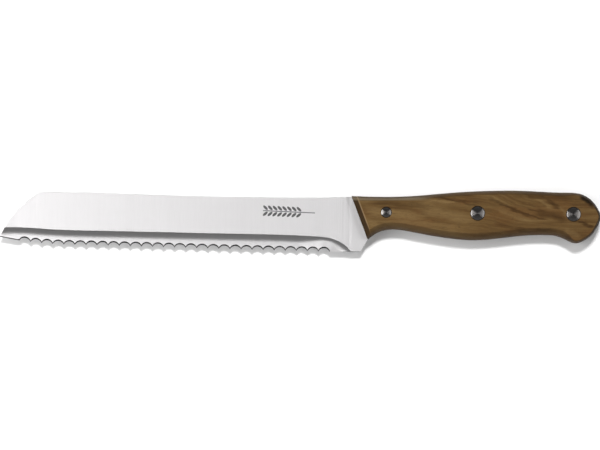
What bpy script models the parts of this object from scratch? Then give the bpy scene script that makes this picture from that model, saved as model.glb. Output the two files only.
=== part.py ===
"""A bread knife: a serrated blade with a full tang, two wooden scales and three rivets.

The knife lies on its side. +X runs from the tip to the butt, +Y from the cutting edge to
the spine and +Z up through the thickness. All lengths are in metres. Outlines are drawn in
the knife's own plane with the middle rivet at (0, 0), and are then moved so that the world
origin is the centre of the knife's footprint, on the surface that it lies on.
"""

import math

import bmesh
import bpy
import numpy as np

# ---------------------------------------------------------------- driving dimensions

STEEL_THICKNESS = 0.0020
SCALE_THICKNESS = 0.0077
FIT_GAP = 0.0003            # left between pieces that touch

# How finely the shapes are divided
OUTLINE_STEP = 0.0005       # spacing of the points read from every outline curve
STATION_GAP = 0.0001        # least distance between two sections of the steel
SCALLOP_STATIONS = 6        # sections of the steel in one scallop
TIP_STATIONS = 8            # and in the plain edge from the tip to the first scallop
HEEL_STATIONS = 24          # from the last scallop to the heel's corner
NECK_STATIONS = 3           # from there to the handle
TANG_STATIONS = 40          # in the tang, closer together towards its ends
LAST_TANG_TURN = 0.08       # how far the last of them stays from the butt, in radians
GRIND_ROWS = (0, 0.22, 0.55, 1)     # rows of the hollow, from its shoulder to the edge
SCALE_POINTS = 96           # round a scale's outline
ROUND_STEPS = 5             # up a scale's rounded edge
CROWN_STEPS = 4             # from a rivet head's axis to its rim
RIVET_SIDES = 32
SHARP_ANGLE = math.radians(15)      # edges that turn by more are shaded as sharp

# Blade
TIP = (-0.2595, -0.0155)
SPINE_CORNER = (-0.2379, 0.0091)
TIP_CUT_BULGE = 0.0024      # how far the tip cut bows out from its chord
HEEL_CORNER = (-0.0632, -0.0216)
TOOTH_COUNT = 28
TOOTH_PITCH = 0.00602
TOOTH_DEPTH = 0.0019
LAST_TOOTH_X = -0.0801

# Width of the facet that is ground along the cutting edge
TIP_FACET = 0.0005          # before the first tooth
POINT_FACET = 0.0008        # at the points of the teeth
CROWN_FACET = 0.00075       # at the top of each scallop
FACET_BLEND = 0.0010        # length over which the first of these becomes the second

# Hollow grind above the teeth, on the upper side only
GRIND_SLOPE = 0.617         # how steeply the hollow falls away from its shoulder
GRIND_FALL = 0.0030         # distance from the shoulder over which it levels out
HEEL_FALL = 0.0015          # the same distance where the hollow closes in on the heel
HEEL_TAPER = 0.04           # slope that it keeps there, all the way to the edge
HEEL_BLEND = [-0.0960, -0.0840]     # stations between which the hollow changes
LEAST_GRIND = 0.0006        # least height of the rows of the hollow, where it runs out
LEAST_FACE_SHARE = 0.05     # least share of the blade's height that stays flat above them

# Handle
FRONT_TOP = (-0.0686, 0.0088)
FRONT_BOTTOM = (-0.0594, -0.0151)
FRONT_CHAMFER = 0.0026
ROUND_DROP = 0.0068         # height of the rounded edge, through the scale's thickness
ROUND_END = math.radians(70)    # the round stops short of the face and leaves a soft arris
ROUND_WIDTH_TOP = 0.0021
ROUND_WIDTH_BOTTOM = 0.0040
ROUND_WIDTH_BUTT = 0.0014
BUTT_BLEND = [0.0455, 0.0530]       # stations between which the butt's width takes over

# Rivets
RIVETS = {                  # name: (station along the handle, radius of the head)
    "front": (-0.0496, 0.0030),
    "middle": (0.0, 0.0040),
    "rear": (0.0520, 0.0040),
}
HEAD_THICKNESS = 0.0014
HEAD_CROWN = 0.0005         # how far the head's rim lies below its crown
PIN_RADIUS = 0.0012
TUBE_RADIUS = 0.0023        # outside; its bore clears the pin by FIT_GAP
PIN_TO_FACE = 0.0035        # between the pin's end and the knife's lower face

# ---------------------------------------------------------------- derived dimensions

HANDLE_THICKNESS = STEEL_THICKNESS + 2 * (SCALE_THICKNESS + FIT_GAP)
MID_Z = HANDLE_THICKNESS / 2
STEEL_TOP = MID_Z + STEEL_THICKNESS / 2
STEEL_BOTTOM = MID_Z - STEEL_THICKNESS / 2
FIRST_TOOTH_X = LAST_TOOTH_X - TOOTH_COUNT * TOOTH_PITCH

# ---------------------------------------------------------------- outlines

# Each list holds the points that a smooth curve passes through.
SPINE = [
    SPINE_CORNER, (-0.2240, 0.0090), (-0.2050, 0.0088), (-0.1790, 0.0081),
    (-0.1500, 0.0075), (-0.1200, 0.0074), (-0.0875, 0.0076), (-0.0680, 0.0082),
]
EDGE = [
    TIP, (-0.2486, -0.0174), (-0.2367, -0.0188), (-0.2128, -0.0196), (-0.1650, -0.0204),
    (-0.1165, -0.0213), (-0.0801, -0.0217), (-0.0720, -0.0217), HEEL_CORNER,
]
SHOULDER = [
    (-0.2600, -0.0105), (-0.2493, -0.0102), (-0.2362, -0.0109), (-0.2036, -0.0117),
    (-0.1645, -0.01215), (-0.1253, -0.01256), (-0.0992, -0.0130), (-0.0862, -0.0136),
    (-0.0822, -0.0139), (-0.0796, -0.0144), (-0.0770, -0.0152), (-0.0735, -0.0169),
    (-0.0705, -0.0192), (-0.0688, -0.0210), (-0.0662, -0.0240),
]
HANDLE = [
    (-0.0780, 0.0090), (-0.0592, 0.0084), (-0.0480, 0.0084), (-0.0350, 0.0090),
    (-0.0114, 0.0112), (0.0060, 0.0122), (0.0260, 0.0124), (0.0470, 0.0117),
    (0.0560, 0.0110), (0.0615, 0.0080), (0.0655, 0.0030), (0.0670, -0.0010),
    (0.0655, -0.0060), (0.0625, -0.0108), (0.0580, -0.0143), (0.0537, -0.0158),
    (0.0497, -0.0147), (0.0445, -0.0124), (0.0370, -0.0115), (0.0250, -0.0120),
    (0.0106, -0.0137), (-0.0020, -0.0147), (-0.0155, -0.0138), (-0.0350, -0.0107),
    (-0.0482, -0.0095), (-0.0540, -0.0111), (-0.0600, -0.0155), (-0.0680, -0.0215),
]


def smooth_curve(points):
    """Points OUTLINE_STEP apart on the natural cubic spline through the given points."""
    points = np.array(points)
    chords = np.linalg.norm(np.diff(points, axis=0), axis=1)
    knots = np.concatenate([[0], np.cumsum(chords)])
    count = len(points)
    system = np.eye(count)
    right = np.zeros_like(points)
    slopes = np.diff(points, axis=0) / chords[:, None]
    for i in range(1, count - 1):
        system[i, i - 1:i + 2] = chords[i - 1], 2 * (chords[i - 1] + chords[i]), chords[i]
        right[i] = 6 * (slopes[i] - slopes[i - 1])
    bend = np.linalg.solve(system, right)
    lengths = np.linspace(0, knots[-1], max(2, round(knots[-1] / OUTLINE_STEP) + 1))
    span = np.clip(np.searchsorted(knots, lengths, side="right") - 1, 0, count - 2)
    chord = chords[span][:, None]
    ahead = (knots[span + 1] - lengths)[:, None] / chord
    behind = 1 - ahead
    straight = ahead * points[span] + behind * points[span + 1]
    curved = (ahead**3 - ahead) * bend[span] + (behind**3 - behind) * bend[span + 1]
    return straight + curved * chord**2 / 6


def tip_cut():
    """The bowed cut from the tip up to the corner of the spine."""
    start, end = np.array(TIP), np.array(SPINE_CORNER)
    chord = np.linalg.norm(end - start)
    radius = chord**2 / (8 * TIP_CUT_BULGE) + TIP_CUT_BULGE / 2
    outward = np.array([start[1] - end[1], end[0] - start[0]]) / chord
    centre = (start + end) / 2 - outward * (radius - TIP_CUT_BULGE)
    first, last = (math.atan2(*(point - centre)[::-1]) for point in (start, end))
    last += 2 * math.pi * round((first - last) / (2 * math.pi))
    angles = np.linspace(first, last, round(chord / OUTLINE_STEP))
    return centre + radius * np.column_stack([np.cos(angles), np.sin(angles)])


def height_on(curve, x):
    """The curve's y at each x, for a curve on which x rises all the way."""
    return np.interp(x, curve[:, 0], curve[:, 1])


def handle_edges():
    """The handle outline's upper and lower edges, each with x rising to the butt."""
    outline = smooth_curve(HANDLE)
    butt = int(np.argmax(outline[:, 0]))
    return outline[:butt + 1], outline[butt:][::-1]


def scallop_rise(x, depth):
    """How far a round scallop of that depth stands above the line of the tooth points."""
    radius = TOOTH_PITCH**2 / (8 * depth) + depth / 2
    along = (x - FIRST_TOOTH_X) % TOOTH_PITCH - TOOTH_PITCH / 2
    rise = np.sqrt(radius**2 - along**2) - (radius - depth)
    inside = (x > FIRST_TOOTH_X) & (x < LAST_TOOTH_X)
    return np.where(inside, np.maximum(rise, 0), 0)


def blade_sides(x):
    """The steel's upper and lower outline at each x, without the scallops."""
    spine, handle_top, handle_bottom = smooth_curve(SPINE), *handle_edges()
    front_x = FRONT_TOP[0]
    upper = np.select(
        [x < SPINE_CORNER[0], x < front_x],
        [height_on(tip_cut(), x), height_on(spine, x)],
        height_on(handle_top, x),
    )
    heel_rear = np.interp(x, [HEEL_CORNER[0], FRONT_BOTTOM[0]], [HEEL_CORNER[1], FRONT_BOTTOM[1]])
    lower = np.select(
        [x < HEEL_CORNER[0], x < FRONT_BOTTOM[0]],
        [height_on(smooth_curve(EDGE), x), heel_rear],
        height_on(handle_bottom, x),
    )
    return upper, lower


def footprint_centre():
    """The centre of the knife's outline, seen from above."""
    handle_top, handle_bottom = handle_edges()
    lowest = min(smooth_curve(EDGE)[:, 1].min(), handle_bottom[:, 1].min())
    highest = max(handle_top[:, 1].max(), SPINE_CORNER[1])
    return np.array([(TIP[0] + handle_top[-1, 0]) / 2, (lowest + highest) / 2])


# ---------------------------------------------------------------- mesh helpers


def material(name, colour, roughness, metallic):
    made = bpy.data.materials.new(name)
    made.use_nodes = True
    shader = made.node_tree.nodes["Principled BSDF"]
    shader.inputs["Base Color"].default_value = (*colour, 1.0)
    shader.inputs["Roughness"].default_value = roughness
    shader.inputs["Metallic"].default_value = metallic
    made.diffuse_color = (*colour, 1.0)
    return made


def add_object(name, bm, finish):
    """Writes the bmesh to an object placed on the footprint's centre, shaded smooth."""
    bmesh.ops.recalc_face_normals(bm, faces=bm.faces)
    mesh = bpy.data.meshes.new(name)
    bm.to_mesh(mesh)
    bm.free()
    mesh.materials.append(finish)
    mesh.shade_smooth()
    mesh.set_sharp_from_angle(angle=SHARP_ANGLE)
    made = bpy.data.objects.new(name, mesh)
    bpy.context.scene.collection.objects.link(made)
    centre = footprint_centre()
    made.location = (-centre[0], -centre[1], 0)
    return made


def skin(bm, rings):
    """Faces between each ring of points and the next, each ring closed on itself."""
    rows = [[bm.verts.new(point) for point in ring] for ring in rings]
    for row, following in zip(rows, rows[1:]):
        for i in range(len(row)):
            j = (i + 1) % len(row)
            bm.faces.new([row[i], row[j], following[j], following[i]])
    bm.faces.new(rows[0][::-1])
    bm.faces.new(rows[-1])


def turned(name, profile, finish, station):
    """A solid turned about a vertical axis at that station on the rivet line."""
    bm = bmesh.new()
    verts = [bm.verts.new((radius, 0, height)) for radius, height in profile]
    edges = [bm.edges.new(pair) for pair in zip(verts, verts[1:])]
    bmesh.ops.spin(
        bm, geom=verts + edges, cent=(0, 0, 0), axis=(0, 0, 1),
        angle=2 * math.pi, steps=RIVET_SIDES, use_merge=True,
    )
    bmesh.ops.remove_doubles(bm, verts=bm.verts, dist=0.00001)
    bmesh.ops.translate(bm, verts=bm.verts, vec=(station, 0, 0))
    return add_object(name, bm, finish)


def add_cutter(name, profile, finish, station):
    """A turned solid that only cuts holes and isn't a piece of the knife."""
    cutter = turned(name, profile, finish, station)
    cutter.hide_render = True
    cutter.display_type = "WIRE"
    return cutter


def drill(piece, cutter):
    cut = piece.modifiers.new(cutter.name, "BOOLEAN")
    cut.object = cutter
    cut.operation = "DIFFERENCE"
    cut.solver = "EXACT"


# ---------------------------------------------------------------- blade


def blade_stations():
    """Where the steel is sectioned: closer together on the scallops, the heel and the butt."""
    tip = np.linspace(TIP[0] + STATION_GAP, FIRST_TOOTH_X, TIP_STATIONS, endpoint=False)
    sections = TOOTH_COUNT * SCALLOP_STATIONS
    teeth = np.linspace(FIRST_TOOTH_X, LAST_TOOTH_X, sections, endpoint=False)
    heel = np.linspace(LAST_TOOTH_X, HEEL_CORNER[0], HEEL_STATIONS, endpoint=False)
    neck = np.linspace(HEEL_CORNER[0], FRONT_BOTTOM[0], NECK_STATIONS, endpoint=False)
    step = [FRONT_TOP[0] - STATION_GAP, FRONT_TOP[0] + STATION_GAP]
    butt = handle_edges()[0][-1, 0]
    turn = np.linspace(math.pi, LAST_TANG_TURN, TANG_STATIONS)
    tang = (butt + FRONT_BOTTOM[0]) / 2 + (butt - FRONT_BOTTOM[0]) / 2 * np.cos(turn)
    stations = np.sort(np.concatenate([tip, teeth, heel, neck, step, tang]))
    return stations[np.append(np.diff(stations) > STATION_GAP / 2, True)]


def ground_height(points):
    """The upper side's height at each point: flat, then hollow on the shoulder's edge side."""
    shoulder = smooth_curve(SHOULDER)
    run = np.gradient(shoulder, axis=0)
    offsets = points[:, None, :] - shoulder[None, :, :]
    distances = np.linalg.norm(offsets, axis=2)
    nearest = distances.argmin(axis=1)
    offset, along = offsets[np.arange(len(points)), nearest], run[nearest]
    on_edge_side = along[:, 0] * offset[:, 1] < along[:, 1] * offset[:, 0]
    heel = np.interp(shoulder[nearest, 0], HEEL_BLEND, [0, 1])
    fall = GRIND_FALL + (HEEL_FALL - GRIND_FALL) * heel
    taper, distance = HEEL_TAPER * heel, distances.min(axis=1)
    hollow = (GRIND_SLOPE - taper) * fall * (1 - np.exp(-distance / fall))
    return STEEL_TOP - np.where(on_edge_side, hollow + taper * distance, 0)


def build_blade(steel):
    """The steel: flat on its lower side, with the hollow grind and the facets on its upper."""
    x = blade_stations()
    spine, edge = blade_sides(x)
    lower_edge = edge + scallop_rise(x, TOOTH_DEPTH)
    blend = [FIRST_TOOTH_X - FACET_BLEND, FIRST_TOOTH_X]
    facet = np.where(x <= LAST_TOOTH_X, np.interp(x, blend, [TIP_FACET, POINT_FACET]), 0)
    upper_edge = edge + facet + scallop_rise(x, TOOTH_DEPTH + CROWN_FACET - POINT_FACET)
    shoulder = np.maximum(height_on(smooth_curve(SHOULDER), x), upper_edge + LEAST_GRIND)
    shoulder = np.minimum(shoulder, spine - LEAST_FACE_SHARE * (spine - upper_edge))
    rows = [spine] + [shoulder + (upper_edge - shoulder) * share for share in GRIND_ROWS]
    upper_side = []
    for row in rows:
        points = np.column_stack([x, row])
        upper_side.append(np.column_stack([points, ground_height(points)]))
    lower_side = [
        np.column_stack([x, row, np.full_like(x, STEEL_BOTTOM)]) for row in (lower_edge, spine)
    ]
    bm = bmesh.new()
    skin(bm, np.stack(upper_side + lower_side, axis=1))
    return add_object("blade", bm, steel)


# ---------------------------------------------------------------- handle scales


def scale_ring(height):
    """The scale's outline at that height above its inner face."""
    outline = smooth_curve(HANDLE)
    run = np.gradient(outline, axis=0)
    run /= np.linalg.norm(run, axis=1)[:, None]
    inward = np.column_stack([run[:, 1], -run[:, 0]])
    facing_up = (1 - inward[:, 1:]) / 2
    width = ROUND_WIDTH_BOTTOM + (ROUND_WIDTH_TOP - ROUND_WIDTH_BOTTOM) * facing_up
    butt = np.interp(outline[:, :1], BUTT_BLEND, [0, 1])
    width += (ROUND_WIDTH_BUTT - width) * butt**2 * (3 - 2 * butt)
    climb = max(0, height - SCALE_THICKNESS + ROUND_DROP) / ROUND_DROP
    turn = math.asin(climb * math.sin(ROUND_END))
    outline = outline + inward * width * (1 - math.cos(turn)) / (1 - math.cos(ROUND_END))

    front = np.array(FRONT_BOTTOM) - np.array(FRONT_TOP)
    front_normal = np.array([-front[1], front[0]]) / np.linalg.norm(front)
    chamfer = max(0, height - SCALE_THICKNESS + FRONT_CHAMFER)
    behind = (outline - np.array(FRONT_TOP)) @ front_normal - chamfer
    kept = np.flatnonzero(behind > 0)
    ends = []
    for inside, outside in ((kept[0], kept[0] - 1), (kept[-1], kept[-1] + 1)):
        share = behind[inside] / (behind[inside] - behind[outside])
        ends.append(outline[inside] + share * (outline[outside] - outline[inside]))
    outline = np.vstack([ends[0], outline[kept], ends[1]])

    lengths = np.append(0, np.cumsum(np.linalg.norm(np.diff(outline, axis=0), axis=1)))
    wanted = np.linspace(0, lengths[-1], SCALE_POINTS)
    return np.column_stack([np.interp(wanted, lengths, outline[:, i]) for i in (0, 1)])


def build_scale(name, wood, side):
    """A scale whose inner face lies on the tang; side is +1 above the tang and -1 below."""
    wall = SCALE_THICKNESS - ROUND_DROP
    turns = ROUND_END * np.linspace(0, 1, ROUND_STEPS + 1)
    heights = wall + ROUND_DROP * np.sin(turns) / math.sin(ROUND_END)
    heights = np.sort([0, *heights, SCALE_THICKNESS - FRONT_CHAMFER])
    inner = STEEL_THICKNESS / 2 + FIT_GAP
    rings = []
    for height in heights:
        ring = scale_ring(height)
        level = np.full(len(ring), MID_Z + side * (inner + height))
        rings.append(np.column_stack([ring, level]))
    bm = bmesh.new()
    skin(bm, rings)
    return add_object(name, bm, wood)


# ---------------------------------------------------------------- rivets


def crown(radius):
    """(radius, drop below the crown) along a slightly domed head, from its axis to its rim."""
    shares = np.linspace(0, 1, CROWN_STEPS + 1)
    return [(radius * share, HEAD_CROWN * share**2) for share in shares]


def build_rivet_pin(name, steel, station, head_radius):
    """The male half, entered from the upper side: a head on a solid pin."""
    under_head = HANDLE_THICKNESS - HEAD_THICKNESS
    profile = [(radius, HANDLE_THICKNESS - drop) for radius, drop in crown(head_radius)]
    profile += [(head_radius, under_head), (PIN_RADIUS, under_head)]
    profile += [(PIN_RADIUS, PIN_TO_FACE), (0, PIN_TO_FACE)]
    turned(name, profile, steel, station)


def build_rivet_tube(name, steel, station, head_radius):
    """The female half, entered from the lower side: a head on a tube that takes the pin."""
    mouth = HANDLE_THICKNESS - HEAD_THICKNESS - FIT_GAP
    bore, floor = PIN_RADIUS + FIT_GAP, PIN_TO_FACE - FIT_GAP
    profile = crown(head_radius)
    profile += [(head_radius, HEAD_THICKNESS), (TUBE_RADIUS, HEAD_THICKNESS)]
    profile += [(TUBE_RADIUS, mouth), (bore, mouth), (bore, floor), (0, floor)]
    turned(name, profile, steel, station)


def rivet_hole(head_radius):
    """The stepped hole that one rivet needs through both scales and the tang."""
    recess = HEAD_THICKNESS + FIT_GAP
    wide, narrow = head_radius + FIT_GAP, TUBE_RADIUS + FIT_GAP
    below, above = -HEAD_THICKNESS, HANDLE_THICKNESS + HEAD_THICKNESS
    return [
        (0, below), (wide, below), (wide, recess), (narrow, recess),
        (narrow, HANDLE_THICKNESS - recess), (wide, HANDLE_THICKNESS - recess),
        (wide, above), (0, above),
    ]


# ---------------------------------------------------------------- the knife


def main():
    for old in list(bpy.data.objects):
        bpy.data.objects.remove(old, do_unlink=True)
    steel = material("satin_steel", (0.78, 0.78, 0.79), 0.32, 1.0)
    wood = material("oiled_wood", (0.23, 0.125, 0.045), 0.5, 0.0)
    rivet_steel = material("turned_steel", (0.62, 0.62, 0.64), 0.25, 1.0)

    drilled = [
        build_blade(steel),
        build_scale("upper_scale", wood, 1),
        build_scale("lower_scale", wood, -1),
    ]
    for place, (station, head_radius) in RIVETS.items():
        build_rivet_pin(f"{place}_rivet_pin", rivet_steel, station, head_radius)
        build_rivet_tube(f"{place}_rivet_tube", rivet_steel, station, head_radius)
        cutter = add_cutter(f"{place}_hole", rivet_hole(head_radius), steel, station)
        for piece in drilled:
            drill(piece, cutter)


main()
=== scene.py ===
"""The looks of the bread knife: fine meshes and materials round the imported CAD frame.

World axes are the frame's: +X from the tip to the butt, +Y from the edge to the spine, +Z
up. Shapes are drawn in the knife's own plane, in metres, with the middle rivet at (0, 0).
Etched and wooden figures, and the distances in their materials, are in millimetres.
"""

import math

import bmesh
import bpy
import numpy as np
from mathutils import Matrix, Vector


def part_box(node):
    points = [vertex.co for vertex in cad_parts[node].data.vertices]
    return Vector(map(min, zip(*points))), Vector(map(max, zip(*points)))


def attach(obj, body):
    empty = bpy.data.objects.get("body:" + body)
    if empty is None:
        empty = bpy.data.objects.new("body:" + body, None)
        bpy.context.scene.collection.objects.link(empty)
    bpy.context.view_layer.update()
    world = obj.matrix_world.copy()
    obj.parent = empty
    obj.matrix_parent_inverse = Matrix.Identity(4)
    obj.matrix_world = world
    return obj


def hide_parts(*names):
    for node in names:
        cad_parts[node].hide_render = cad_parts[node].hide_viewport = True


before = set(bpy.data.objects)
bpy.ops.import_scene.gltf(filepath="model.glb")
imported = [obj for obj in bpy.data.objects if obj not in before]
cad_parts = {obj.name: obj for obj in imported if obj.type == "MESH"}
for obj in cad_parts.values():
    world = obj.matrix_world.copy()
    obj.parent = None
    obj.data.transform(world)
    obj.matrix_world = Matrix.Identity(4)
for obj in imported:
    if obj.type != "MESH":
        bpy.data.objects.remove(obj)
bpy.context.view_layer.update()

# ---------------------------------------------------------------- sizes read from the frame


def middle_of(node):
    low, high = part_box(node)
    return (low + high) / 2


PLACES = ("front", "middle", "rear")
ORIGIN = middle_of("middle_rivet_pin")      # where the knife's own plane has its (0, 0)
RIVET_STATIONS = {place: middle_of(f"{place}_rivet_pin").x - ORIGIN.x for place in PLACES}
HEAD_RADII = {
    place: (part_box(f"{place}_rivet_pin")[1].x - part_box(f"{place}_rivet_pin")[0].x) / 2
    for place in PLACES
}
STEEL_BOTTOM, STEEL_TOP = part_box("blade")[0].z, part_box("blade")[1].z
HANDLE_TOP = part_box("upper_scale")[1].z
MID_Z = (STEEL_BOTTOM + STEEL_TOP) / 2

# ---------------------------------------------------------------- fine dimensions

OUTLINE_STEP = 0.00025      # between the points of a smooth curve
LEAST_STEP = 0.00002        # between two sections of the steel
SEAM = 0.00002              # the hairline left between touching pieces
EDGE_BREAK = 0.00018        # chamfer on the steel's plain edges

# Blade outline
TIP = (-0.2595, -0.0155)
SPINE_CORNER = (-0.2379, 0.0091)
TIP_CUT_BULGE = 0.0024      # how far the cut from tip to spine bows out of its chord
HEEL_CORNER = (-0.0632, -0.0216)

# Serration: round scallops that meet in points, and the facet along their edge
TOOTH_COUNT = 28
TOOTH_PITCH = 0.00602
TOOTH_DEPTH = 0.0019
LAST_TOOTH_X = -0.0801
FIRST_TOOTH_X = LAST_TOOTH_X - TOOTH_COUNT * TOOTH_PITCH
TIP_FACET = 0.0005          # the facet's width on the plain edge at the tip,
POINT_FACET = 0.0008        # at the points of the teeth
CROWN_FACET = 0.00075       # and at the crowns of the scallops
FACET_BLEND = 0.0010        # the length over which it widens before the first tooth
FACET_DROP = 0.00045        # the most that it drops
EDGE_LAND = 0.00005         # the flat that is left at its foot

# Hollow grind: it starts steep at the shoulder line and levels out over its fall distance
GRIND_SLOPE = 0.617
FALL_STATIONS = [-0.0960, -0.0840, -0.0780, -0.0700]    # places along the shoulder line
GRIND_FALL = [0.0030, 0.0015, 0.0016, 0.0028]           # and the fall distance at each
LEAST_GRIND = 0.0002        # the least width that it keeps above the facet
HEEL_FLAT_X = -0.0728       # from here to the handle the heel's plain edge takes the facet steel, painted dark as shade

# Handle
FRONT_TOP = (-0.0686, 0.0088)
FRONT_BOTTOM = (-0.0594, -0.0151)
FRONT_CHAMFER = 0.0026
SCALE_THICKNESS = HANDLE_TOP - STEEL_TOP - SEAM
ROUND_DROP = 0.0068         # how far below the face the rounding starts
ROUND_END = math.radians(70)    # the angle that it turns through
ROUND_WIDTH_TOP = 0.0021    # how far it draws the outline in on the spine's side,
ROUND_WIDTH_BOTTOM = 0.0040     # on the fingers' side
ROUND_WIDTH_BUTT = 0.0014   # and round the butt
BUTT_BLEND = [0.0455, 0.0530]   # from where to where it changes to the butt's width
ARRIS_REACH = 0.00035       # how far the softened arris runs to each side of its corner

# Rivets
HEAD_THICKNESS = 0.0014
HEAD_CROWN = 0.0005         # how high the dome stands above its rim
HEAD_RIM = 0.00012          # the broken rim round the dome
PIN_RADIUS = 0.0012
TUBE_RADIUS = 0.0023
PIN_TO_FACE = 0.0035        # from the pin's end to the face of the tube's head

# How finely the pieces are divided
TIP_SECTIONS = 44
SECTIONS_A_TOOTH = 18
HEEL_SECTIONS = 90
NECK_SECTIONS = 6
TANG_SECTIONS = 130
LAST_TURN = 0.04            # in radians: how far short of the butt the tang's sections stop
GRIND_STEPS = 14
SCALE_POINTS = 420
RIVET_SIDES = 96

# Each list holds the points that a smooth curve passes through.
SPINE = [
    SPINE_CORNER, (-0.2240, 0.0090), (-0.2050, 0.0088), (-0.1790, 0.0081),
    (-0.1500, 0.0075), (-0.1200, 0.0074), (-0.0875, 0.0076), (-0.0680, 0.0082),
]
EDGE = [
    TIP, (-0.2486, -0.0174), (-0.2367, -0.0188), (-0.2128, -0.0196), (-0.1650, -0.0204),
    (-0.1165, -0.0213), (-0.0801, -0.0217), (-0.0720, -0.0217), HEEL_CORNER,
]
SHOULDER = [
    (-0.2600, -0.0105), (-0.2493, -0.0102), (-0.2362, -0.0109), (-0.2036, -0.0117),
    (-0.1645, -0.01215), (-0.1253, -0.01256), (-0.0992, -0.0130), (-0.0862, -0.0136),
    (-0.0822, -0.0139), (-0.0796, -0.0144), (-0.0770, -0.0152), (-0.0735, -0.0169),
    (-0.0705, -0.0192), (-0.0688, -0.0210), (-0.0662, -0.0240),
]
HANDLE = [
    (-0.0780, 0.0090), (-0.0592, 0.0084), (-0.0480, 0.0084), (-0.0350, 0.0090),
    (-0.0114, 0.0112), (0.0060, 0.0122), (0.0260, 0.0124), (0.0470, 0.0117),
    (0.0560, 0.0110), (0.0615, 0.0080), (0.0655, 0.0030), (0.0670, -0.0010),
    (0.0655, -0.0060), (0.0625, -0.0108), (0.0580, -0.0143), (0.0537, -0.0158),
    (0.0497, -0.0147), (0.0445, -0.0124), (0.0370, -0.0115), (0.0250, -0.0120),
    (0.0106, -0.0137), (-0.0020, -0.0147), (-0.0155, -0.0138), (-0.0350, -0.0107),
    (-0.0482, -0.0095), (-0.0540, -0.0111), (-0.0600, -0.0155), (-0.0680, -0.0215),
]

# ---------------------------------------------------------------- figures and colours

# The etched wheat ear, in millimetres: pairs of grains along a stem
EAR_START = (-116.5, 0.2)
EAR_TURN = math.radians(-2)
EAR_LENGTH = 20.8
STEM_LENGTH = 7.5
GRAIN_PITCH = 2.6
GRAIN_OFFSET = 1.65         # from the stem to the middle of a grain
GRAIN_LEAN = math.radians(-42)
GRAIN_SIZE = (1.65, 0.70, 1)    # half length and half width
GRAIN_FADE = (0.9, 1.1)     # the shares of its size over which a grain fades out
STEM_FADE = (0.16, 0.34)    # the distances from its line over which the stem does
ETCHED = (0.07, 0.068, 0.07)

# Figure of each scale, in millimetres: a streak's start and end, its half width and how
# dark it is, or how light when that is negative.
UPPER_FIGURE = [
    ((-58, 5.4), (-24, 3.2), 1.6, 0.45), ((-22, 8.8), (2, 3.4), 0.8, 0.65),
    ((-11, 7.2), (2, 5.2), 0.5, 0.45), ((-48, -7.4), (-5, -11.6), 3.2, -0.50),
    ((-47, -4.8), (-8, -8.0), 1.8, -0.50), ((-66, -1.0), (-53, -8.5), 2.6, -0.40),
    ((-62, 1.4), (-28, -2.8), 3.4, -0.65), ((-27, 6.8), (-9, 5.6), 1.0, -0.65),
    ((-32, 1.2), (-2, -3.6), 3.2, -0.55), ((10, 3.0), (30, -4.6), 2.6, -0.22),
    ((6, 8.2), (20, 2.2), 1.3, 0.75), ((16, 3.6), (29, -1.6), 1.1, 0.80),
    ((25, -0.2), (38, -2.9), 0.7, 0.95), ((27, 2.8), (35, 0.0), 0.9, 0.80),
    ((36.5, 8.6), (45, 3.2), 1.6, 0.80), ((31, 1.2), (49, -2.8), 3.0, 0.75),
    ((39, -0.8), (48, -2.6), 0.8, 1.00), ((31, 8.4), (40, 3.4), 1.2, -0.45),
    ((43.5, 4.6), (48.5, -0.8), 1.2, -0.35), ((53.5, -3.6), (64, -7.2), 1.2, 1.00),
    ((9, -5.6), (30, -9.8), 1.4, 0.55), ((19, -9.4), (42, -8.8), 1.2, 0.65),
    ((20, 10.9), (56, 8.4), 2.9, 0.62), ((47, -8.6), (56, -12.6), 2.0, -0.35),
]
LOWER_FIGURE = [
    ((-58, -3.0), (-18, -1.0), 2.2, 0.40), ((-20, 4.5), (18, 7.0), 1.2, 0.50),
    ((-50, 4.0), (-20, 2.0), 2.0, -0.40), ((-6, -6.0), (34, -3.0), 1.5, 0.55),
    ((20, 3.0), (58, -1.5), 2.4, 0.60), ((34, 7.5), (56, 6.0), 0.8, 0.70),
    ((0, 0.5), (24, -1.0), 1.6, -0.45), ((38, -6.0), (58, -9.0), 1.4, -0.50),
]
KNOT = ((55.6, 10.2), (63.4, 4.6), 2.3)         # start, end and half width
SHEEN_EDGE_STREAK = ((-74, 7.6), (-27, 8.2), 2.0)       # the same, where a painted sheen lightens the front of the upper rounded edge

# Wood colours, as linear RGB
DEEP_BROWN = (0.060, 0.0310, 0.0100)
MID_BROWN = (0.089, 0.0505, 0.0172)
GOLDEN_BROWN = (0.117, 0.0720, 0.0275)
RUDDY_BROWN = (0.088, 0.0390, 0.0120)
LIGHT_STREAK = (0.150, 0.0950, 0.0380)
DARK_STREAK = (0.028, 0.0130, 0.0036)
KNOT_BROWN = (0.007, 0.0045, 0.0022)
FIBRE_BROWN = (0.045, 0.0210, 0.0070)
PORE_BROWN = (0.022, 0.0100, 0.0040)
SIDE_SHADE_BROWN = (0.024, 0.0130, 0.0040)
ALONG_FACING_BROWN = (0.018, 0.0090, 0.0028)
PAINTED_SHEEN_BROWN = (0.150, 0.1200, 0.0780)
ARRIS_HIGHLIGHT_BROWN = (0.22, 0.150, 0.080)

# ---------------------------------------------------------------- light and camera settings

FLOOR_REACH = 12.0
SOFTBOX_HEIGHT = 0.74
SOFTBOX_SIZE = (0.66, 0.46)
# The sky's brightness by the sine of its direction towards +Y
SKY = [(-1.0, 0.02), (-0.90, 0.04), (-0.80, 0.18), (-0.45, 0.20), (-0.15, 0.04), (0.15, 0.04),
       (0.55, 0.10), (0.85, 0.25)]
VIEW_CENTRE = (-0.0963, -0.0074)    # the point of the knife's plane below the camera
VIEW_WIDTH = 0.3261                 # what the picture spans at the middle of the blade
VIEW_TURN = math.radians(0.61)
CAMERA_HEIGHT = 4.0
SENSOR_WIDTH = 36.0                 # in millimetres

# ---------------------------------------------------------------- outlines


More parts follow.
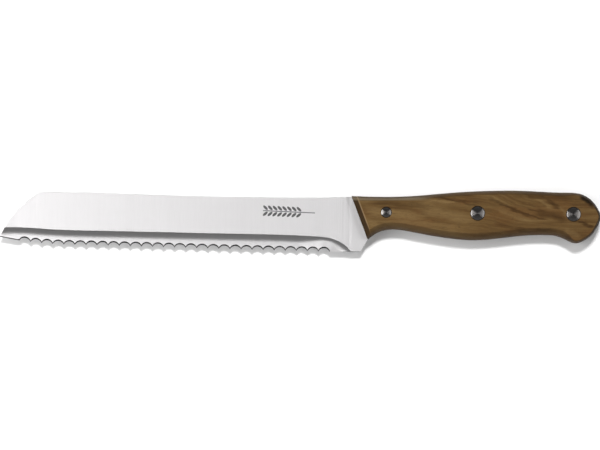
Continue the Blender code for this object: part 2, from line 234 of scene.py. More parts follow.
def smooth_curve(points):
    """Points OUTLINE_STEP apart on the natural cubic spline through the given points."""
    points = np.array(points)
    chords = np.linalg.norm(np.diff(points, axis=0), axis=1)
    knots = np.concatenate([[0], np.cumsum(chords)])
    count = len(points)
    system = np.eye(count)
    right = np.zeros_like(points)
    slopes = np.diff(points, axis=0) / chords[:, None]
    for i in range(1, count - 1):
        system[i, i - 1:i + 2] = chords[i - 1], 2 * (chords[i - 1] + chords[i]), chords[i]
        right[i] = 6 * (slopes[i] - slopes[i - 1])
    bend = np.linalg.solve(system, right)
    lengths = np.linspace(0, knots[-1], max(2, round(knots[-1] / OUTLINE_STEP) + 1))
    span = np.clip(np.searchsorted(knots, lengths, side="right") - 1, 0, count - 2)
    chord = chords[span][:, None]
    ahead = (knots[span + 1] - lengths)[:, None] / chord
    behind = 1 - ahead
    straight = ahead * points[span] + behind * points[span + 1]
    curved = (ahead**3 - ahead) * bend[span] + (behind**3 - behind) * bend[span + 1]
    return straight + curved * chord**2 / 6


def tip_cut():
    """The bowed cut from the tip up to the corner of the spine."""
    start, end = np.array(TIP), np.array(SPINE_CORNER)
    chord = np.linalg.norm(end - start)
    radius = chord**2 / (8 * TIP_CUT_BULGE) + TIP_CUT_BULGE / 2
    outward = np.array([start[1] - end[1], end[0] - start[0]]) / chord
    centre = (start + end) / 2 - outward * (radius - TIP_CUT_BULGE)
    first, last = (math.atan2(*(point - centre)[::-1]) for point in (start, end))
    last += 2 * math.pi * round((first - last) / (2 * math.pi))
    angles = np.linspace(first, last, round(chord / OUTLINE_STEP))
    return centre + radius * np.column_stack([np.cos(angles), np.sin(angles)])


def height_on(curve, x):
    """The curve's y at each x, for a curve on which x rises all the way."""
    return np.interp(x, curve[:, 0], curve[:, 1])


def handle_edges():
    """The handle outline's upper and lower edges, each with x rising to the butt."""
    outline = smooth_curve(HANDLE)
    butt = int(np.argmax(outline[:, 0]))
    return outline[:butt + 1], outline[butt:][::-1]


def scallop_rise(x, depth):
    """How far a round scallop of that depth stands above the line of the tooth points."""
    radius = TOOTH_PITCH**2 / (8 * depth) + depth / 2
    along = (x - FIRST_TOOTH_X) % TOOTH_PITCH - TOOTH_PITCH / 2
    rise = np.sqrt(radius**2 - along**2) - (radius - depth)
    inside = (x > FIRST_TOOTH_X) & (x < LAST_TOOTH_X)
    return np.where(inside, np.maximum(rise, 0), 0)


def blade_sides(x):
    """The steel's upper and lower outline at each x, without the scallops."""
    spine, handle_top, handle_bottom = smooth_curve(SPINE), *handle_edges()
    upper = np.select(
        [x < SPINE_CORNER[0], x < FRONT_TOP[0]],
        [height_on(tip_cut(), x), height_on(spine, x)],
        height_on(handle_top, x),
    )
    heel_rear = np.interp(x, [HEEL_CORNER[0], FRONT_BOTTOM[0]], [HEEL_CORNER[1], FRONT_BOTTOM[1]])
    lower = np.select(
        [x < HEEL_CORNER[0], x < FRONT_BOTTOM[0]],
        [height_on(smooth_curve(EDGE), x), heel_rear],
        height_on(handle_bottom, x),
    )
    return upper, lower


# ---------------------------------------------------------------- mesh helpers


def solid(name, bm, finishes, station=0):
    """Puts the bmesh in the scene, with its origin on the rivets' line at that station."""
    bmesh.ops.recalc_face_normals(bm, faces=bm.faces)
    mesh = bpy.data.meshes.new(name)
    bm.to_mesh(mesh)
    bm.free()
    for finish in finishes:
        mesh.materials.append(finish)
    made = bpy.data.objects.new(name, mesh)
    made.location = (ORIGIN.x + station, ORIGIN.y, 0)
    bpy.context.scene.collection.objects.link(made)
    return made


def stand_for(made, node):
    """Hangs the piece under the root body and hides the CAD node that it stands for."""
    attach(made, "root")
    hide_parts(node)


def skin(bm, rings, in_second=None):
    """Faces between each ring of points and the next, each ring closed on itself.

    in_second(ring, place) tells whether the face that starts there takes the second material.
    """
    rows = [[bm.verts.new(point) for point in ring] for ring in rings]
    for ring, (row, following) in enumerate(zip(rows, rows[1:])):
        for i in range(len(row)):
            j = (i + 1) % len(row)
            face = bm.faces.new([row[i], row[j], following[j], following[i]])
            face.material_index = int(bool(in_second and in_second(ring, i)))
    bm.faces.new(rows[0][::-1])
    bm.faces.new(rows[-1])


def turned(profile):
    """A bmesh solid turned about the vertical axis from (radius, height) points."""
    bm = bmesh.new()
    verts = [bm.verts.new((radius, 0, height)) for radius, height in profile]
    edges = [bm.edges.new(pair) for pair in zip(verts, verts[1:])]
    bmesh.ops.spin(
        bm, geom=verts + edges, cent=(0, 0, 0), axis=(0, 0, 1),
        angle=2 * math.pi, steps=RIVET_SIDES, use_merge=True,
    )
    bmesh.ops.remove_doubles(bm, verts=bm.verts, dist=0.000002)
    return bm


def drill(target, profile, station):
    """Cuts a turned hole through a piece and applies the cut."""
    cutter = solid("cutter", turned(profile), target.data.materials[:1], station)
    cut = target.modifiers.new("hole", "BOOLEAN")
    cut.object = cutter
    cut.operation = "DIFFERENCE"
    cut.solver = "EXACT"
    bpy.context.view_layer.update()
    graph = bpy.context.evaluated_depsgraph_get()
    drilled = bpy.data.meshes.new_from_object(target.evaluated_get(graph))
    target.modifiers.clear()
    target.data = drilled
    bpy.data.objects.remove(cutter, do_unlink=True)


def shade(made, sharp_degrees):
    """Smooth shading with sharp edges wherever faces meet at more than the angle."""
    made.data.shade_smooth()
    made.data.set_sharp_from_angle(angle=math.radians(sharp_degrees))


# ---------------------------------------------------------------- shader helpers


def fill_ramp(ramp, stops):
    """Gives a colour ramp its (position, colour or grey) stops, in rising order."""
    elements = ramp.elements
    elements.remove(elements[1])
    elements[0].position = stops[0][0]
    for position, _ in stops[1:]:
        elements.new(position)
    for element, (_, colour) in zip(elements, stops):
        element.color = (*colour, 1) if isinstance(colour, tuple) else (colour,) * 3 + (1,)


class Graph:
    """Builds one material's node tree, with the Principled shader already in place."""

    def __init__(self, name):
        self.material = bpy.data.materials.new(name)
        self.material.use_nodes = True
        self.tree = self.material.node_tree
        self.shader = self.tree.nodes["Principled BSDF"]

    def feed(self, socket, value):
        if isinstance(value, bpy.types.NodeSocket):
            self.tree.links.new(value, socket)
        else:
            socket.default_value = value

    def set(self, **inputs):
        """Feeds the shader's sockets, such as Base_Color."""
        for key, value in inputs.items():
            self.feed(self.shader.inputs[key.replace("_", " ")], value)

    def node(self, kind, settings=None, **inputs):
        """A node with its sockets fed, by name or, as _0, _1 and so on, by number."""
        made = self.tree.nodes.new(kind)
        for key, value in (settings or {}).items():
            setattr(made, key, value)
        for key, value in inputs.items():
            self.feed(made.inputs[int(key[1:]) if key[0] == "_" else key], value)
        return made

    def coordinates(self):
        """The position in the object's own axes, in metres."""
        return self.node("ShaderNodeTexCoord").outputs["Object"]

    def scaled(self, vector, scale, shift=0):
        """The vector times the scale for each axis, then moved along X."""
        return self.node(
            "ShaderNodeMapping", None, Vector=vector, Location=(shift, 0, 0), Scale=scale,
        ).outputs[0]

    def seen_from(self, position, origin, turn, size=(1, 1, 1)):
        """The position in axes with that origin, turn about Z and unit for each axis."""
        return self.node(
            "ShaderNodeMapping", {"vector_type": "TEXTURE"}, Vector=position,
            Location=(*origin, 0), Rotation=(0, 0, turn), Scale=size,
        ).outputs[0]

    def split(self, vector):
        return self.node("ShaderNodeSeparateXYZ", None, _0=vector).outputs

    def join(self, x, y, z):
        return self.node("ShaderNodeCombineXYZ", None, X=x, Y=y, Z=z).outputs[0]

    def length(self, vector):
        return self.node("ShaderNodeVectorMath", {"operation": "LENGTH"}, _0=vector).outputs["Value"]

    def noise(self, vector, scale=1.0, detail=2.0, roughness=0.5):
        return self.node("ShaderNodeTexNoise", None, Vector=vector, Scale=scale, Detail=detail,
                         Roughness=roughness).outputs[0]

    def math(self, operation, first, second=0.5):
        return self.node("ShaderNodeMath", {"operation": operation}, _0=first, _1=second).outputs[0]

    def blend(self, first, second, share):
        """first times the share, plus second times the rest."""
        return self.math("ADD", self.math("MULTIPLY", first, share),
                         self.math("MULTIPLY", second, 1 - share))

    def between(self, value, low, high):
        """1 where the value lies between low and high, and 0 elsewhere."""
        offset = self.math("ABSOLUTE", self.math("SUBTRACT", value, (low + high) / 2))
        return self.math("LESS_THAN", offset, (high - low) / 2)

    def spread(self, value, low, high, to_low=0.0, to_high=1.0):
        """Maps low..high to to_low..to_high, clamped."""
        return self.node(
            "ShaderNodeMapRange", None, _0=value, _1=low, _2=high, _3=to_low, _4=to_high,
        ).outputs[0]

    def smooth(self, value, low, high, to_low=0.0, to_high=1.0):
        """Eases from one value to the other as the input goes from low to high."""
        return self.node(
            "ShaderNodeMapRange", {"interpolation_type": "SMOOTHSTEP"}, _0=value, _1=low,
            _2=high, _3=to_low, _4=to_high,
        ).outputs[0]

    def streak(self, position, start, end, half_width):
        """1 on the line from start to end, fading to 0 at its sides and its ends."""
        along = np.subtract(end, start)
        size = (np.linalg.norm(along), half_width, 1)
        u, v, _ = self.split(self.seen_from(position, start, math.atan2(along[1], along[0]), size))
        across = self.smooth(self.math("ABSOLUTE", v), 0.25, 1.0, 1.0, 0.0)
        begin = self.smooth(u, -0.1, 0.2)
        finish = self.smooth(u, 0.75, 1.1, 1.0, 0.0)
        return self.math("MULTIPLY", across, self.math("MULTIPLY", begin, finish))

    def ramp(self, value, *stops):
        """A colour ramp with (position, colour or grey) stops."""
        made = self.node("ShaderNodeValToRGB", None, Fac=value)
        fill_ramp(made.color_ramp, stops)
        return made.outputs[0]

    def tint(self, colour, factor, other):
        """The colour, changed to the other one as far as the factor says."""
        made = self.node("ShaderNodeMix", {"data_type": "RGBA"}, _0=factor, _6=colour,
                         _7=(*other, 1))
        return made.outputs[2]

    def bump(self, height, distance):
        return self.node("ShaderNodeBump", None, Height=height, Distance=distance).outputs[0]


# ---------------------------------------------------------------- steel and floor


def blade_steel():
    """Satin steel with brush lines that run from the spine to the edge, and the etching."""
    g = Graph("blade_steel")
    fine = g.noise(g.scaled(g.coordinates(), (6500, 110, 400)), detail=3, roughness=0.6)
    broad = g.noise(g.scaled(g.coordinates(), (700, 16, 60)), detail=3, roughness=0.55)
    cloud = g.noise(g.scaled(g.coordinates(), (26, 40, 40)))
    lines = g.blend(fine, broad, 0.7)
    brushed = g.ramp(lines, (0.3, (0.775, 0.763, 0.768)), (0.7, (0.825, 0.812, 0.818)))
    etched = wheat_ear(g)
    clouded = g.math("ADD", lines, g.math("MULTIPLY", cloud, 0.3))
    tangent = g.node("ShaderNodeTangent", {"direction_type": "UV_MAP", "uv_map": "along"})
    g.set(
        Base_Color=g.tint(brushed, etched, ETCHED),
        Metallic=g.math("SUBTRACT", 1.0, g.math("MULTIPLY", etched, 0.7)),
        Roughness=g.spread(clouded, 0.3, 1.0, 0.33, 0.37),
        Anisotropic=0.95,
        Normal=g.bump(lines, 0.0000015),
        Tangent=tangent.outputs[0],
    )
    return g.material


def wheat_ear(g):
    """1 inside a small wheat ear on the blade's upper face: paired grains and a stem."""
    place = g.scaled(g.coordinates(), (1000, 1000, 1000))
    u, v, height = g.split(g.seen_from(place, EAR_START, EAR_TURN))
    side = g.math("ABSOLUTE", v)
    in_pitch = g.math("MULTIPLY", g.math("FRACT", g.math("DIVIDE", u, GRAIN_PITCH)), GRAIN_PITCH)
    grain = g.seen_from(g.join(in_pitch, side, 0), (GRAIN_PITCH / 2, GRAIN_OFFSET), GRAIN_LEAN,
                        GRAIN_SIZE)
    grains = g.math("MULTIPLY", g.smooth(g.length(grain), *GRAIN_FADE, 1.0, 0.0),
                    g.between(u, 0, EAR_LENGTH))
    stem = g.math("MULTIPLY", g.smooth(side, *STEM_FADE, 1.0, 0.0),
                  g.between(u, 0, EAR_LENGTH + STEM_LENGTH))
    on_top = g.math("GREATER_THAN", height, STEEL_TOP * 1000 - 0.05)
    return g.math("MULTIPLY", g.math("MAXIMUM", grains, stem), on_top)


def facet_steel_painted_dark():
    """The coarser steel of the facets ground along the edge, with a near-black base colour that is
    painted shade for the dark surroundings they reflect.
    """
    g = Graph("facet_steel_painted_dark")
    scratches = g.noise(g.scaled(g.coordinates(), (9000, 300, 300)))
    g.set(
        # painted shade: the facets' near-black base colour stands in for the dark surroundings that
        # they mirror
        Base_Color=g.ramp(scratches, (0.3, (0.04, 0.039, 0.040)), (0.7, (0.08, 0.078, 0.080))),
        Metallic=1.0,
        Roughness=g.spread(scratches, 0.3, 0.7, 0.30, 0.38),
        Normal=g.bump(scratches, 0.000003),
    )
    return g.material


def rivet_steel():
    """Turned steel with concentric tool marks."""
    g = Graph("rivet_steel")
    radius = g.length(g.scaled(g.coordinates(), (1, 1, 0)))
    rings = g.noise(g.join(radius, 0, 0), scale=7000, detail=3, roughness=0.6)
    tangent = g.node("ShaderNodeTangent", {"direction_type": "RADIAL", "axis": "Z"})
    g.set(
        Base_Color=g.ramp(rings, (0.3, (0.31, 0.292, 0.283)), (0.7, (0.385, 0.366, 0.352))),
        Metallic=1.0,
        Roughness=g.spread(rings, 0.3, 0.7, 0.24, 0.28),
        Anisotropic=0.9,
        Anisotropic_Rotation=0.25,
        Normal=g.bump(rings, 0.000003),
        Tangent=tangent.outputs[0],
    )
    return g.material


def floor_paint():
    """Pale, matt paint."""
    g = Graph("floor_paint")
    speckle = g.noise(g.scaled(g.coordinates(), (40, 40, 40)))
    g.set(
        Base_Color=g.ramp(speckle, (0, 0.74), (1, 0.75)), Roughness=0.9, Specular_IOR_Level=0.0,
    )
    return g.material


# ---------------------------------------------------------------- wood


def handle_wood(name, figure, shift):
    """Oiled golden-brown wood with streaks and pores, with painted shade and painted highlights on
    its edges.

    shift moves the noise along the handle, so that the two scales differ.
    """
    g = Graph(name)
    place = g.scaled(g.coordinates(), (1000, 1000, 1000))

    def stretched(position, along, across, **settings):
        """Noise with its own scale along the handle and across it."""
        return g.noise(g.scaled(position, (along, across, across), shift), **settings)

    grain = bent_grain(g, place, stretched)
    lines = stretched(grain, 0.045, 1.0, detail=3, roughness=0.6)
    fibre = stretched(grain, 0.20, 6.0, detail=3, roughness=0.6)
    pores = g.smooth(stretched(grain, 0.35, 9.0, detail=1), 0.60, 0.72)
    facing_up = g.math("ABSOLUTE", surface_normal(g)["Z"])

    bands = g.blend(stretched(grain, 0.03, 0.22), lines, 0.55)
    colour = g.ramp(bands, (0.36, DEEP_BROWN), (0.50, MID_BROWN), (0.64, GOLDEN_BROWN))
    ruddy = g.smooth(stretched(place, 0.05, 0.14), 0.46, 0.62, 0.0, 0.40)
    colour = g.tint(colour, ruddy, RUDDY_BROWN)
    colour = draw_figure(g, colour, place, figure, lines, stretched)
    colour = g.tint(colour, g.smooth(fibre, 0.42, 0.70, 0.0, 0.30), FIBRE_BROWN)
    colour = g.tint(colour, g.math("MULTIPLY", pores, 0.5), PORE_BROWN)
    colour = paint_edge_light_and_shade(g, colour, place, facing_up)
    g.set(
        Base_Color=colour,
        Roughness=g.math("ADD", g.spread(fibre, 0.3, 0.7, 0.38, 0.50),
                         g.smooth(facing_up, 0.75, 0.98, 0.22, 0.0)),
        Specular_IOR_Level=0.14,
        Normal=g.bump(g.math("SUBTRACT", fibre, pores), 0.000025),
    )
    return g.material


def surface_normal(g):
    return g.split(g.node("ShaderNodeNewGeometry").outputs["Normal"])


def bent_grain(g, place, stretched):
    """Axes that follow the grain, which wanders a little and dives towards the butt."""
    x, y, z = g.split(place)
    drop = g.math("ADD", g.spread(x, -25, 45, 0.0, 7.0), g.smooth(x, 2, 32, 0.0, 6.5))
    drop = g.math("MULTIPLY", drop, g.smooth(y, -11, 2, 0.3, 1.0))
    wander = g.math("MULTIPLY", stretched(place, 0.07, 0.35), 3.5)
    return g.join(x, g.math("ADD", g.math("ADD", y, drop), wander), z)


def draw_figure(g, colour, place, figure, lines, stretched):
    """The colour with the figure's wavering light and dark streaks and the knot."""
    x, y, _ = g.split(place)
    waver = g.math("MULTIPLY", g.math("SUBTRACT", stretched(place, 0.16, 0.5), 0.5), 3.6)
    wavering = g.join(x, g.math("ADD", y, waver), 0)
    dark, light = 0.0, 0.0
    for start, end, half_width, depth in figure:
        mark = g.math("MULTIPLY", g.streak(wavering, start, end, half_width), abs(depth))
        if depth > 0:
            dark = g.math("MAXIMUM", mark, dark)
        else:
            light = g.math("MAXIMUM", mark, light)
    frayed = g.math("MULTIPLY", dark, g.smooth(lines, 0.35, 0.60, 1.0, 0.70))
    colour = g.tint(colour, light, LIGHT_STREAK)
    colour = g.tint(colour, frayed, DARK_STREAK)
    return g.tint(colour, g.streak(wavering, *KNOT), KNOT_BROWN)


def paint_edge_light_and_shade(g, colour, place, facing_up):
    """The colour with painted shade on the rounded sides, darker where the surface faces along the
    handle, a painted sheen on the upper edge's front and a painted highlight along the front arris.
    """
    # painted shade: the rounded sides and chamfers, tilted away from the light, are darkened in the
    # colour
    rounded = g.smooth(facing_up, 0.90, 0.99, 0.42, 0.0)
    colour = g.tint(colour, rounded, SIDE_SHADE_BROWN)
    # darker where the surface faces along the handle: the front chamfer and the round of the butt
    facing_along = g.math("ABSOLUTE", surface_normal(g)["X"])
    colour = g.tint(colour, g.smooth(facing_along, 0.30, 0.75, 0.0, 0.80), ALONG_FACING_BROWN)
    # painted sheen: a greyish light streak on the rounded upper edge near the front, where it
    # catches the light
    painted_sheen = g.math("MULTIPLY", g.streak(place, *SHEEN_EDGE_STREAK),
                   g.smooth(facing_up, 0.2, 0.6, 0.0, 0.80))
    colour = g.tint(colour, painted_sheen, PAINTED_SHEEN_BROWN)

    # painted highlight: a light line along the arris between the front chamfer and the face
    front = np.subtract(FRONT_BOTTOM, FRONT_TOP)
    corner = np.multiply(FRONT_TOP, 1000)
    behind_front = g.split(g.seen_from(place, corner, math.atan2(front[1], front[0])))["Y"]
    from_arris = g.math("SUBTRACT", behind_front, FRONT_CHAMFER * 1000 + 0.15)
    arris_highlight = g.math("MULTIPLY", g.smooth(g.math("ABSOLUTE", from_arris), 0.0, 0.55, 0.65, 0.0),
                  g.smooth(g.split(place)["Y"], -11, -4, 0.15, 1.0))
    return g.tint(colour, arris_highlight, ARRIS_HIGHLIGHT_BROWN)


# ---------------------------------------------------------------- blade


def blade_stations():
    """Where the steel is sectioned, closer together where its outline turns."""
    hair = 0.00005
    butt = handle_edges()[0][-1, 0]
    sections = TOOTH_COUNT * SECTIONS_A_TOOTH
    turn = np.linspace(math.pi, LAST_TURN, TANG_SECTIONS)
    stations = np.sort(np.concatenate([
        np.linspace(TIP[0] + hair, FIRST_TOOTH_X, TIP_SECTIONS, endpoint=False),
        np.linspace(FIRST_TOOTH_X, LAST_TOOTH_X, sections, endpoint=False),
        np.linspace(LAST_TOOTH_X, HEEL_CORNER[0], HEEL_SECTIONS, endpoint=False),
        np.linspace(HEEL_CORNER[0], FRONT_BOTTOM[0], NECK_SECTIONS, endpoint=False),
        [FRONT_TOP[0] - hair, FRONT_TOP[0] + hair],
        (butt + FRONT_BOTTOM[0]) / 2 + (butt - FRONT_BOTTOM[0]) / 2 * np.cos(turn),
    ]))
    return stations[np.append(np.diff(stations) > LEAST_STEP, True)]


def ground_depth(points):
    """How deep the hollow grind is at each point, from its distance to the shoulder."""
    shoulder = smooth_curve(SHOULDER)
    run = np.gradient(shoulder, axis=0)
    depths = []
    for point in points:
        offsets = point - shoulder
        distances = np.linalg.norm(offsets, axis=1)
        nearest = distances.argmin()
        offset, along = offsets[nearest], run[nearest]
        on_edge_side = along[0] * offset[1] < along[1] * offset[0]
        fall = np.interp(shoulder[nearest, 0], FALL_STATIONS, GRIND_FALL)
        hollow = GRIND_SLOPE * fall * (1 - math.exp(-distances[nearest] / fall))
        depths.append(hollow if on_edge_side else 0)
    return np.array(depths)


def build_blade(steel, serration):
    """The steel from tip to butt, as closed section loops joined one to the next.

    A loop starts at the spine, runs over the ground upper face and down the facet or, where
    the edge isn't toothed, down a broken edge, and comes back along the flat lower face.
    """
    x = blade_stations()
    spine, edge = blade_sides(x)
    toothed = x <= LAST_TOOTH_X
    cutting_edge = edge + scallop_rise(x, TOOTH_DEPTH)
    blend = [FIRST_TOOTH_X - FACET_BLEND, FIRST_TOOTH_X]
    facet_width = np.where(toothed, np.interp(x, blend, [TIP_FACET, POINT_FACET]), EDGE_BREAK)
    facet_top = edge + facet_width + scallop_rise(x, TOOTH_DEPTH + CROWN_FACET - POINT_FACET)
    spine_break = np.minimum(EDGE_BREAK, (spine - facet_top) / 8)
    shoulder = np.maximum(height_on(smooth_curve(SHOULDER), x), facet_top + LEAST_GRIND)
    shoulder = np.minimum(shoulder, spine - 2 * spine_break)

    def row(y, z):
        return np.column_stack([x, y, np.broadcast_to(z, x.shape)])

    def upper_row(y):
        return row(y, STEEL_TOP - ground_depth(np.column_stack([x, y])))

    crest = upper_row(spine - spine_break)
    crest_side = row(spine, crest[:, 2] - spine_break)
    shares = np.linspace(0, 1, GRIND_STEPS + 1)
    ground = [upper_row(shoulder + (facet_top - shoulder) * share) for share in shares]

    facet_z = ground[-1][:, 2]
    drop = FACET_DROP * np.minimum(facet_width / CROWN_FACET, 1)
    land_z = np.maximum(facet_z - drop, STEEL_BOTTOM + EDGE_LAND)
    sloped = [((facet_top + cutting_edge) / 2, (facet_z + land_z) / 2), (cutting_edge, land_z)]
    plain = [np.minimum(z, facet_z) for z in (STEEL_TOP - EDGE_BREAK, STEEL_BOTTOM + EDGE_BREAK)]
    facet = [row(np.where(toothed, y, edge), np.where(toothed, z, plain_z))
             for (y, z), plain_z in zip(sloped, plain)]

    back = [
        row(np.where(toothed, cutting_edge, edge + EDGE_BREAK), STEEL_BOTTOM),
        row(spine - spine_break, STEEL_BOTTOM),
        row(spine, STEEL_BOTTOM + spine_break),
    ]
    # painted shade: these rings take the facet steel painted dark, on the teeth and on the heel's
    # plain edge
    dark_painted_rings = toothed | (x > HEEL_FLAT_X) & (x < FRONT_BOTTOM[0])
    before_facet = 1 + len(ground)

    def painted_dark_face(ring, place):
        return dark_painted_rings[ring] and before_facet <= place < before_facet + len(facet)

    bm = bmesh.new()
    skin(bm, np.stack([crest_side, crest, *ground, *facet, *back], axis=1), painted_dark_face)
    made = solid("blade_steel_piece", bm, [steel, serration])
    drill_for_rivets(made)
    shade(made, 12)
    map_along(made.data)
    stand_for(made, "blade")


def map_along(mesh):
    """A UV map whose U runs along the knife, for the direction of the brushing."""
    layer = mesh.uv_layers.new(name="along")
    for loop in mesh.loops:
        point = mesh.vertices[loop.vertex_index].co
        layer.data[loop.index].uv = (point.x, point.y + point.z)


# ---------------------------------------------------------------- handle scales


def softened(start, corner, end, steps=5):
    """Points on the curve that replaces a corner, from start to end."""
    shares = np.linspace(0, 1, steps + 1)[:, None]
    start, corner, end = np.array(start), np.array(corner), np.array(end)
    return (1 - shares)**2 * start + 2 * shares * (1 - shares) * corner + shares**2 * end


def round_profile():
    """(share of the round's width, height) up the rounded edge and on to the face."""
    turns = np.linspace(0, ROUND_END, 13)
    shares = (1 - np.cos(turns)) / (1 - math.cos(ROUND_END))
    heights = SCALE_THICKNESS - ROUND_DROP * (1 - np.sin(turns) / math.sin(ROUND_END))
    soft = softened((shares[-2], heights[-2]), (1, SCALE_THICKNESS), (1.15, SCALE_THICKNESS))
    profile = np.column_stack([shares, heights])[:-2]
    return np.vstack([[0, 0], profile, soft])


def chamfer_profile():
    """(distance behind the front face, height) up the front chamfer and on to the face."""
    foot, top = SCALE_THICKNESS - FRONT_CHAMFER, SCALE_THICKNESS
    reach, slant = ARRIS_REACH, ARRIS_REACH / math.sqrt(2)
    low = softened((0, foot - reach), (0, foot), (slant, foot + slant))
    high = softened((FRONT_CHAMFER - slant, top - slant), (FRONT_CHAMFER, top),
                    (FRONT_CHAMFER + reach, top))
    return np.vstack([[0, 0], low, high])


def rounded_outline(round_share):
    """The handle's outline, drawn in by a share of the rounding's width."""
    outline = smooth_curve(HANDLE)
    run = np.gradient(outline, axis=0)
    run /= np.linalg.norm(run, axis=1)[:, None]
    inward = np.column_stack([run[:, 1], -run[:, 0]])
    spine_side = (1 - inward[:, 1:]) / 2
    width = ROUND_WIDTH_BOTTOM + (ROUND_WIDTH_TOP - ROUND_WIDTH_BOTTOM) * spine_side
    butt = np.interp(outline[:, :1], BUTT_BLEND, [0, 1])
    width += (ROUND_WIDTH_BUTT - width) * butt**2 * (3 - 2 * butt)
    return outline + inward * width * round_share


def scale_ring(round_share, chamfer):
    """SCALE_POINTS points along the drawn-in outline, cut off at its slanted front."""
    outline = rounded_outline(round_share)
    front = np.array(FRONT_BOTTOM) - np.array(FRONT_TOP)
    front_normal = np.array([-front[1], front[0]]) / np.linalg.norm(front)
    behind = (outline - np.array(FRONT_TOP)) @ front_normal - chamfer
    kept = np.flatnonzero(behind > 0)
    ends = []
    for inside, outside in ((kept[0], kept[0] - 1), (kept[-1], kept[-1] + 1)):
        share = behind[inside] / (behind[inside] - behind[outside])
        ends.append(outline[inside] + share * (outline[outside] - outline[inside]))
    outline = np.vstack([ends[0], outline[kept], ends[1]])

    lengths = np.append(0, np.cumsum(np.linalg.norm(np.diff(outline, axis=0), axis=1)))
    wanted = np.linspace(0, lengths[-1], SCALE_POINTS)
    return np.column_stack([np.interp(wanted, lengths, outline[:, i]) for i in (0, 1)])


def build_scale(name, wood, side):
    """A scale on the tang; side is +1 above it and -1 below."""
    rounded, chamfered = round_profile(), chamfer_profile()
    heights = np.unique(np.concatenate([rounded[:, 1], chamfered[:, 1]]).round(7))
    shares, chamfers = (np.interp(heights, profile[:, 1], profile[:, 0])
                        for profile in (rounded, chamfered))
    shares[-1], chamfers[-1] = rounded[-1, 0], chamfered[-1, 0]
    on_face = (shares[-1] + 0.1, chamfers[-1] + ARRIS_REACH, heights[-1])
    inner = (STEEL_TOP - STEEL_BOTTOM) / 2 + SEAM
    rings = []
    for share, chamfer, height in [*zip(shares, chamfers, heights), on_face]:
        ring = scale_ring(share, chamfer)
        rings.append(np.column_stack([ring, np.full(len(ring), MID_Z + side * (inner + height))]))
    bm = bmesh.new()
    skin(bm, rings)
    made = solid(f"{name}_wood", bm, [wood])
    drill_for_rivets(made)
    shade(made, 20)
    stand_for(made, name)


# ---------------------------------------------------------------- rivets


def head_profile(radius):
    """(radius, drop below the crown) along a domed head with a broken rim."""
    shares = np.linspace(0, 1, 14)[:-1]
    dome = [(radius * share, HEAD_CROWN * share**2.5) for share in shares]
    return dome + [(radius - HEAD_RIM, HEAD_CROWN),
                   (radius - HEAD_RIM / 3, HEAD_CROWN + HEAD_RIM / 3),
                   (radius, HEAD_CROWN + HEAD_RIM)]


def rivet_pin(head_radius):
    """The upper half: a head and the solid pin below it."""
    under_head = HANDLE_TOP - HEAD_THICKNESS
    profile = [(radius, HANDLE_TOP - drop) for radius, drop in head_profile(head_radius)]
    profile += [(head_radius, under_head), (PIN_RADIUS, under_head)]
    return profile + [(PIN_RADIUS, PIN_TO_FACE), (0, PIN_TO_FACE)]


def rivet_tube(head_radius):
    """The lower half: a head and the tube that takes the pin."""
    mouth = HANDLE_TOP - HEAD_THICKNESS - SEAM
    bore, floor = PIN_RADIUS + SEAM, PIN_TO_FACE - SEAM
    profile = head_profile(head_radius)
    profile += [(head_radius, HEAD_THICKNESS), (TUBE_RADIUS, HEAD_THICKNESS)]
    return profile + [(TUBE_RADIUS, mouth), (bore, mouth), (bore, floor), (0, floor)]


def rivet_hole(head_radius):
    """The stepped hole that one rivet needs through both scales and the tang."""
    recess = HEAD_THICKNESS + SEAM
    wide, narrow = head_radius + SEAM, TUBE_RADIUS + SEAM
    below, above = -HEAD_THICKNESS, HANDLE_TOP + HEAD_THICKNESS
    return [
        (0, below), (wide, below), (wide, recess), (narrow, recess),
        (narrow, HANDLE_TOP - recess), (wide, HANDLE_TOP - recess),
        (wide, above), (0, above),
    ]


def drill_for_rivets(made):
    for place in PLACES:
        drill(made, rivet_hole(HEAD_RADII[place]), RIVET_STATIONS[place])


def build_rivets(steel):
    for place in PLACES:
        for half, profile in (("pin", rivet_pin), ("tube", rivet_tube)):
            node = f"{place}_rivet_{half}"
            bm = turned(profile(HEAD_RADII[place]))
            made = solid(f"{node}_steel", bm, [steel], RIVET_STATIONS[place])
            shade(made, 30)
            stand_for(made, node)


# ---------------------------------------------------------------- stage, lights and camera


def build_floor(paint):
    mesh = bpy.data.meshes.new("floor")
    corners = [(x * FLOOR_REACH, y * FLOOR_REACH, 0)
               for x, y in ((-1, -1), (1, -1), (1, 1), (-1, 1))]
    mesh.from_pydata(corners, [], [(0, 1, 2, 3)])
    mesh.materials.append(paint)
    floor = bpy.data.objects.new("floor", mesh)
    bpy.context.scene.collection.objects.link(floor)


def add_light(name, kind, location, power, **settings):
    """A light that points from its location at the middle of the floor."""
    light = bpy.data.lights.new(name, kind)
    light.energy = power
    for key, value in settings.items():
        setattr(light, key, value)
    made = bpy.data.objects.new(name, light)
    made.location = location
    made.rotation_euler = (-Vector(location)).to_track_quat("-Z", "Y").to_euler()
    bpy.context.scene.collection.objects.link(made)
    return made


def sun(name, direction, strength, spread_degrees):
    """Light from that direction, which doesn't show in the steel."""
    made = add_light(name, "SUN", direction, strength, angle=math.radians(spread_degrees))
    made.visible_glossy = False


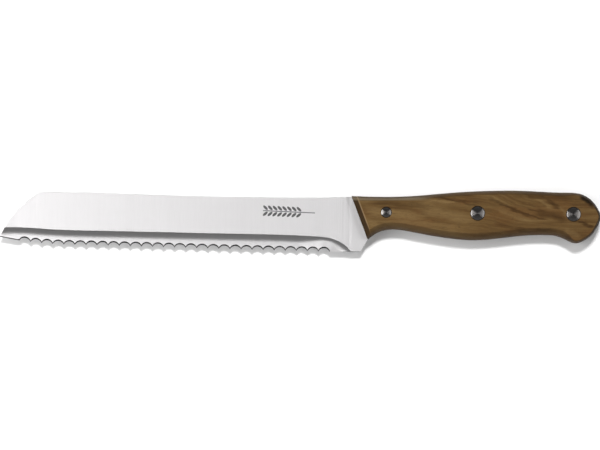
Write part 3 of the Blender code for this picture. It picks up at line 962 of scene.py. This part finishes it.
def softbox(name, x, brightness):
    """A panel of even brightness beyond one end of the knife."""
    width, depth = SOFTBOX_SIZE
    add_light(name, "AREA", (x, 0, SOFTBOX_HEIGHT), math.pi * width * depth * brightness,
              shape="RECTANGLE", size=width, size_y=depth)


def light_stage():
    """A sun behind the spine, a soft fill before the edge and a softbox beyond each end."""
    sun("sun", direction=(0, 0.395, 1), strength=3.25, spread_degrees=8)
    sun("fill", direction=(0, -0.9, 1), strength=0.68, spread_degrees=60)
    softbox("left_softbox", x=-0.59, brightness=5.05)
    softbox("right_softbox", x=0.64, brightness=1.40)


def build_sky():
    """A sky that is dim overhead and changes only towards +Y and -Y."""
    world = bpy.data.worlds.new("studio")
    world.use_nodes = True
    bpy.context.scene.world = world
    nodes, links = world.node_tree.nodes, world.node_tree.links
    direction = nodes.new("ShaderNodeTexCoord")
    parts = nodes.new("ShaderNodeSeparateXYZ")
    links.new(direction.outputs["Generated"], parts.inputs[0])
    across = nodes.new("ShaderNodeMapRange")
    across.inputs["From Min"].default_value = -1
    links.new(parts.outputs["Y"], across.inputs["Value"])
    fade = nodes.new("ShaderNodeValToRGB")
    fill_ramp(fade.color_ramp, [((sine + 1) / 2, grey) for sine, grey in SKY])
    links.new(across.outputs[0], fade.inputs["Fac"])
    links.new(fade.outputs["Color"], nodes["Background"].inputs["Color"])


def place_camera():
    camera = bpy.data.cameras.new("camera")
    camera.sensor_width = SENSOR_WIDTH
    camera.lens = SENSOR_WIDTH * (CAMERA_HEIGHT - MID_Z) / VIEW_WIDTH
    camera.clip_end = 100
    made = bpy.data.objects.new("camera", camera)
    made.location = (ORIGIN.x + VIEW_CENTRE[0], ORIGIN.y + VIEW_CENTRE[1], CAMERA_HEIGHT)
    made.rotation_euler = (0, 0, VIEW_TURN)
    bpy.context.scene.collection.objects.link(made)
    bpy.context.scene.camera = made
    bpy.context.scene.view_settings.view_transform = "Standard"


place_camera()
build_floor(floor_paint())
light_stage()
build_sky()
build_blade(blade_steel(), facet_steel_painted_dark())
build_scale("upper_scale", handle_wood("upper_wood", UPPER_FIGURE, 0), 1)
build_scale("lower_scale", handle_wood("lower_wood", LOWER_FIGURE, 170), -1)
build_rivets(rivet_steel())
